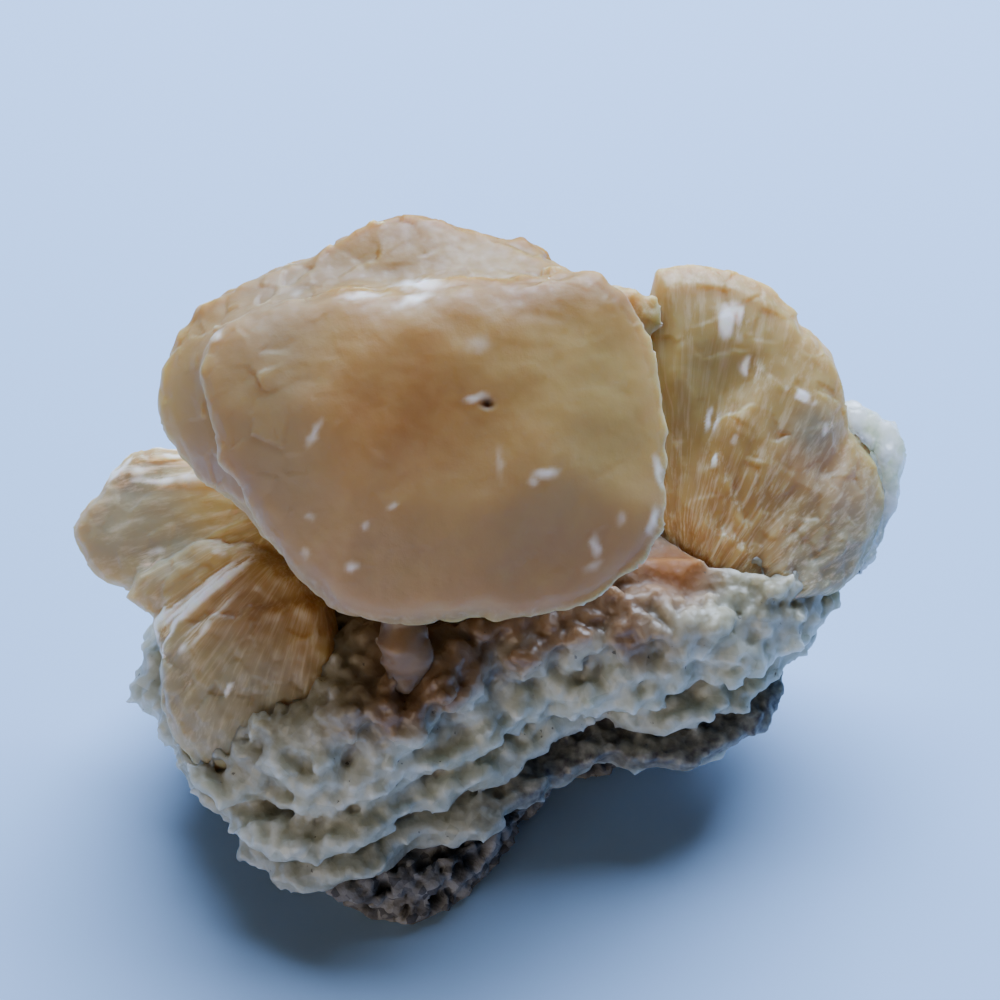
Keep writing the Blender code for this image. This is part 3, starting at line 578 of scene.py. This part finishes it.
# ---------------------------------------------------------------- crust of small crystals
# A druse: thousands of stubby whitish crystals, 0.5 to 2 mm across, grown into rounded milky lumps over the
# basalt and round the feet of the sheaves. The layers below the top one are thinner and finer, and greyer,
# partly by painted shade.
CRUST_VOXEL = 0.36  # mm
LUMP_SIZE, LUMP_HEIGHT = 5.0, 1.2  # mm
# Sizes in mm of the crystal faces that the lumps are made of, with their tilt and by how many mm they step.
CRYSTAL_FACES = [(2.6, 0.20, 0.30), (1.3, 0.25, 0.15)]
GROOVE_DEPTH = 1.0  # mm that the hollows between the layers go deeper
HOLLOW_SMOOTHING = 500  # rounds of smoothing that show where the hollows are
CRYSTALS_PER_AREA, CRYSTAL_WIDTHS, CRYSTALS_SUNK = 2.2, (0.8, 2.0), -0.05  # per square mm, mm, share of width
FOOT_CRYSTALS_PER_AREA, FOOT_WIDTHS, FOOT_SUNK = 1.2, (1.2, 2.4), 0.3
CLIMB = 1.1  # mm that crystals climb up the sheaves' feet
# Smooth orange stilbite shows at the right sheaf's left foot, without crystals; its orange is partly a
# painted glow of light through it. Place and radius in mm.
AMBER_PATCH = [((18.5, -1.2, 28.2), 6.0)]
# Brown stain and painted shade: mm above the bedding, and near a sheaf, where it starts and is full, only in
# front of a depth. It is brownest under the front sheaf, between these sides, with painted shade and light
# tinted by the stilbite, and olive elsewhere, darkened as painted shadow.
STAIN_ABOVE, STAIN_NEAR, STAIN_IN_FRONT_OF = (13.5, 17.5), (4.5, 1.0), (8, 2)
BROWN_FROM, BROWN_TO = (-18, -10), (22, 14)


def over_bedding(points):
    """How far points in mm are above the tilted face between basalt and crust."""
    local = points - ORIGIN
    return local[..., 2] - (8.3 + 0.09 * local[..., 0] + 0.07 * local[..., 1])


def distance_tree(nodes):
    """CAD nodes as one search tree, in mm."""
    corners, faces = [], []
    for node in nodes:
        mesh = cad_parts[node].data
        faces += [[corner + len(corners) for corner in face.vertices] for face in mesh.polygons]
        corners += [vertex.co / MM for vertex in mesh.vertices]
    return BVHTree.FromPolygons(corners, faces)


sheaf_tree = distance_tree([*sheaves, "pale_crystal"])
crust_tree = distance_tree(["druse_crust"])


def on_crust(place, out):
    """Crystals are larger on the crowns of the layers, few on their steep sides, small where a sheaf is near,
    and none in a socket or under the crust."""
    gap = sheaf_tree.find_nearest(place)[3]
    above = over_bedding(place)
    crown = np.clip((out[2] + 0.1) / 0.7, 0, 1)
    if gap < 0.5 or above < 0.3 and out[2] < -0.7 or noise.random() > 0.35 + 0.65 * crown:
        return 0
    bare = patches_on(place[None], AMBER_PATCH)[0]
    if bare > 0.6:
        return 0
    return np.clip(above / 9, 0.6, 1) * (0.6 + 0.4 * crown) * min(1.0, 0.45 + gap / 5) * (1 - 0.6 * bare)


def on_foot(place, out):
    """Crystals that climb the foot of a sheaf, fewer and smaller the higher they are."""
    gap = crust_tree.find_nearest(place)[3]
    if patches_on(place[None], AMBER_PATCH)[0] > 0.1:
        return 0
    reach = CLIMB * (0.7 + 0.3 * np.clip((abs(place[0] - ORIGIN[0] - 3) - 20) / 5, 0, 1))
    return 0.9 * (1 - gap / reach * 0.5) if 0.1 < gap < reach * noise.random() ** 0.8 else 0


def facets(points, size, tilt, step, seed):
    """Height in mm of flat crystal faces about size mm wide, each tilted and stepped at random."""
    places = points / size + np.array([seed * 9.7, seed * 6.1, seed * 4.3])
    middles = np.array([noise.voronoi(Vector(p))[1][0] for p in places])
    mixing = np.array([[12.7, 26.9, 11.3, 9.1], [31.1, 18.3, 27.1, 4.7], [7.4, 24.6, 12.4, 15.9]])
    chance = np.modf(np.abs(np.sin(middles @ mixing)) * 437.5)[0] * 2 - 1
    return step * chance[:, 3] + size * tilt * ((places - middles) * chance[:, :3]).sum(axis=1) * 1.7


def hollowness(obj, smoothing):
    """How far in mm each point lies below a smoothed copy of the surface; below zero where it stands out."""
    mesh = obj.data
    smooth = obj.modifiers.new("smooth", "SMOOTH")
    smooth.factor = 0.5
    smooth.iterations = smoothing
    copy = bpy.data.meshes.new_from_object(obj.evaluated_get(bpy.context.evaluated_depsgraph_get()))
    obj.modifiers.clear()
    points, outward = points_of(obj)
    obj.data = copy
    smoothed, _ = points_of(obj)
    obj.data = mesh
    return ((smoothed - points) * outward).sum(axis=1)


def crystal_shapes():
    """Four stubby crystals, 1 wide, that stand on the origin: points and faces of each."""
    shapes = []
    for sides, top, tip in ((6, 0.42, 0.26), (4, 0.46, 0.20), (4, 0.34, 0.30), (5, 0.40, 0.18)):
        bm = bmesh.new()
        bmesh.ops.create_cone(bm, cap_ends=True, segments=sides, radius1=0.5, radius2=top, depth=1.0)
        cap = [f for f in bm.faces if f.normal.z > 0.9]
        bmesh.ops.inset_region(bm, faces=cap, thickness=0.17, depth=tip * 0.7)
        bmesh.ops.poke(bm, faces=cap, offset=tip * 0.3)
        shapes.append(([tuple(v.co) for v in bm.verts], [[v.index for v in f.verts] for f in bm.faces]))
        bm.free()
    return shapes


def scatter_crystals(surface, per_area, widths, sunk, keep, seed):
    """One mesh of crystals at random on a surface, their middles sunk in by a share of their width. keep
    gives each place's size factor, or 0 for none."""
    rng = np.random.default_rng(seed)
    noise.seed_set(seed)
    surface.data.calc_loop_triangles()
    corners = np.empty(len(surface.data.loop_triangles) * 3, int)
    surface.data.loop_triangles.foreach_get("vertices", corners)
    corners = corners.reshape(-1, 3)
    base, outward = points_of(surface)
    a, b, c = base[corners[:, 0]], base[corners[:, 1]], base[corners[:, 2]]
    area = np.linalg.norm(np.cross(b - a, c - a), axis=1) / 2
    count = int(area.sum() * per_area)
    chosen = rng.choice(len(corners), count, p=area / area.sum())
    cuts = np.sort(rng.random((count, 2)), axis=1)
    weights = np.stack([cuts[:, 0], cuts[:, 1] - cuts[:, 0], 1 - cuts[:, 1]], axis=1)
    places = (base[corners[chosen]] * weights[:, :, None]).sum(axis=1)
    outs = outward[corners[chosen]].mean(axis=1)
    shapes = crystal_shapes()
    all_points, all_faces, at = [], [], 0
    for place, out in zip(places, outs):
        grown = keep(place, out)
        if not grown:
            continue
        lean = Vector(out) + Vector(rng.normal(0, 0.28, 3))
        turn = lean.to_track_quat("Z", "Y").to_matrix() @ Matrix.Rotation(rng.uniform(0, 6.3), 3, "Z")
        width = grown * (widths[0] + (widths[1] - widths[0]) * rng.random() ** 1.8)
        form, faces = shapes[rng.integers(len(shapes))]
        stretch = np.array([width, width * rng.uniform(0.65, 1.0), width * rng.uniform(0.5, 0.9)])
        middle = place - sunk * width * np.array(out)
        all_points.append((np.array(form) * stretch) @ np.array(turn).T + middle)
        all_faces += [[i + at for i in face] for face in faces]
        at += len(form)
    mesh = bpy.data.meshes.new("crystals")
    mesh.from_pydata(np.concatenate(all_points) * MM, [], all_faces)
    obj = bpy.data.objects.new("crystals", mesh)
    bpy.context.scene.collection.objects.link(obj)
    return obj


crust = fine_copy("druse_crust", "crust_body", CRUST_VOXEL, 4)
points, outward = points_of(crust)
fine = share(over_bedding(points), 9, 3)
height = LUMP_HEIGHT * (1 - 0.5 * fine) * (lumps(points, LUMP_SIZE, 41) - 0.75) - 0.2
for seed, (size, tilt, step) in enumerate(CRYSTAL_FACES, 42):
    height += (1 - 0.4 * fine) * facets(points, size, tilt, step, seed)
height -= GROOVE_DEPTH * share(hollowness(crust, HOLLOW_SMOOTHING), 0.2, 1.2)
height *= 1 - patches_on(points, AMBER_PATCH)
points += outward * height[:, None]
move_points(crust, points)

# The crystals are grown in, so they and the crust are joined to one even mesh.
feet = [sheaves[node] for node in ("right_sheaf", "left_fan", "front_sheaf")]
grown_in = [scatter_crystals(crust, CRYSTALS_PER_AREA, CRYSTAL_WIDTHS, CRYSTALS_SUNK, on_crust, 50)]
grown_in += [scatter_crystals(foot, FOOT_CRYSTALS_PER_AREA, FOOT_WIDTHS, FOOT_SUNK, on_foot, seed)
             for seed, foot in enumerate(feet, 54)]
bm = bmesh.new()
bm.from_mesh(crust.data)
for piece in grown_in:
    bm.from_mesh(piece.data)
    bpy.data.objects.remove(piece)
bm.to_mesh(crust.data)
bm.free()
crust = even_mesh(crust, CRUST_VOXEL, 0, 0.6)

# Druse crystals: glassy faces on a milky body with a faint green cast; brown under the stilbite and olive
# beside it, partly stain and partly painted shade; painted shade in the hollows; grey in the lowest layers
# with a paler edge, partly painted shade; orange at the right sheaf's foot, partly a painted glow.
DRUSE_WHITE, DRUSE_GREEN, DRUSE_BROWN, DRUSE_AMBER = "#C8C8BA", "#A8AA99", "#7E5E40", "#8A5826"
DRUSE_OLIVE, DRUSE_HOLLOW, DRUSE_GREY, DRUSE_SPECK = "#8C8368", "#7F7973", "#3F3D42", "#2E2A28"
druse, tree = new_material("milky_druse_crystals")
place = add_node(tree, "TexCoord", "Object")
clouds = add_node(tree, "TexNoise", Vector=place, Scale=1 / (6 * MM), Detail=5.0, Roughness=0.65)
crystals = add_node(tree, "TexVoronoi", "Color", Vector=place, Scale=1 / (2.2 * MM))
clouds = add_node(tree, "Math", 0, [("operation", "MULTIPLY_ADD")], in_0=crystals, in_1=0.3, in_2=clouds)
clouds = add_node(tree, "MapRange", Value=clouds, From_Min=0.48, From_Max=0.82)
specks = add_node(tree, "TexNoise", Vector=place, Scale=1 / (0.9 * MM), Detail=3.0)
uneven = add_node(tree, "MapRange", Value=specks, From_Min=0.3, From_Max=0.7, To_Min=0.6)
rare = add_node(tree, "MapRange", Value=specks, From_Min=0.71, From_Max=0.74, To_Max=0.7)
colour = add_node(tree, "Mix", 2, [("data_type", "RGBA")], in_0=clouds, in_6=linear(DRUSE_GREEN),
                  in_7=linear(DRUSE_WHITE))
for name, layer, amount in (("hollow", DRUSE_HOLLOW, uneven), ("layer", DRUSE_GREY, uneven),
                            ("olive", DRUSE_OLIVE, uneven), ("stain", DRUSE_BROWN, 1.0),
                            ("amber", DRUSE_AMBER, 1.0), ("everywhere", DRUSE_SPECK, rare)):
    stored = add_node(tree, "Attribute", "Fac", [("attribute_name", name)])
    amount = add_node(tree, "Math", 0, [("operation", "MULTIPLY")], in_0=stored, in_1=amount)
    colour = add_node(tree, "Mix", 2, [("data_type", "RGBA")], in_0=amount, in_6=colour, in_7=linear(layer))
grain = add_node(tree, "TexVoronoi", "Distance", Vector=place, Scale=1 / (0.8 * MM))
relief = add_node(tree, "Bump", Strength=0.5, Distance=0.2 * MM, Height=grain)
gloss = add_node(tree, "MapRange", Value=grain, From_Min=0.2, From_Max=0.8, To_Min=0.3, To_Max=0.5)
waxy = add_node(tree, "Attribute", "Fac", [("attribute_name", "amber")])
gloss = add_node(tree, "Math", 0, [("operation", "MULTIPLY_ADD")], in_0=waxy, in_1=0.3, in_2=gloss)
surface = add_node(tree, "BsdfPrincipled", Base_Color=colour, Roughness=gloss, IOR=1.50,
                   Subsurface_Weight=1.0, Subsurface_Radius=(1.0, 0.95, 0.85),
                   Subsurface_Scale=5.0 * MM, Normal=relief)
add_node(tree, "OutputMaterial", Surface=surface)

points, _ = points_of(crust)
move_points(crust, points)
local = points - ORIGIN
above = over_bedding(points)
gap = np.array([sheaf_tree.find_nearest(p)[3] for p in points])
under_front = share(local[:, 0], *BROWN_FROM) * share(local[:, 0], *BROWN_TO)
in_front = share(local[:, 1], *STAIN_IN_FRONT_OF)
# Brown, and olive away from the front sheaf: partly stain, partly painted shade and light tinted by the
# stilbite.
stain = 0.95 * share(above + 3.0 * waves(points, 4, 44), *STAIN_ABOVE) * in_front
stain = np.maximum(stain, 0.7 * share(gap + 2.0 * waves(points, 3, 45), *STAIN_NEAR) * in_front)
# Greyer low down, most on the right, with a paler bottom edge: partly the layers' own grey, partly painted
# shade under the overhang.
layer = share(above, 5.5, 3.5) * share(local[:, 0], -6, 4)
layer = np.maximum(layer * (0.45 + 0.55 * share(above, 0.6, 2.0)), 0.3 * share(above, 8, 5))
# Painted shade darkens the hollows, where the surface lies below its smoothed copy.
store(crust, stain=stain * under_front, olive=stain * (1 - under_front), layer=layer,
      hollow=share(hollowness(crust, HOLLOW_SMOOTHING), 0.4, 1.6), amber=patches_on(points, AMBER_PATCH),
      everywhere=np.ones(len(points)))
crust.data.materials.append(druse)
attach(crust, "root")
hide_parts("druse_crust")
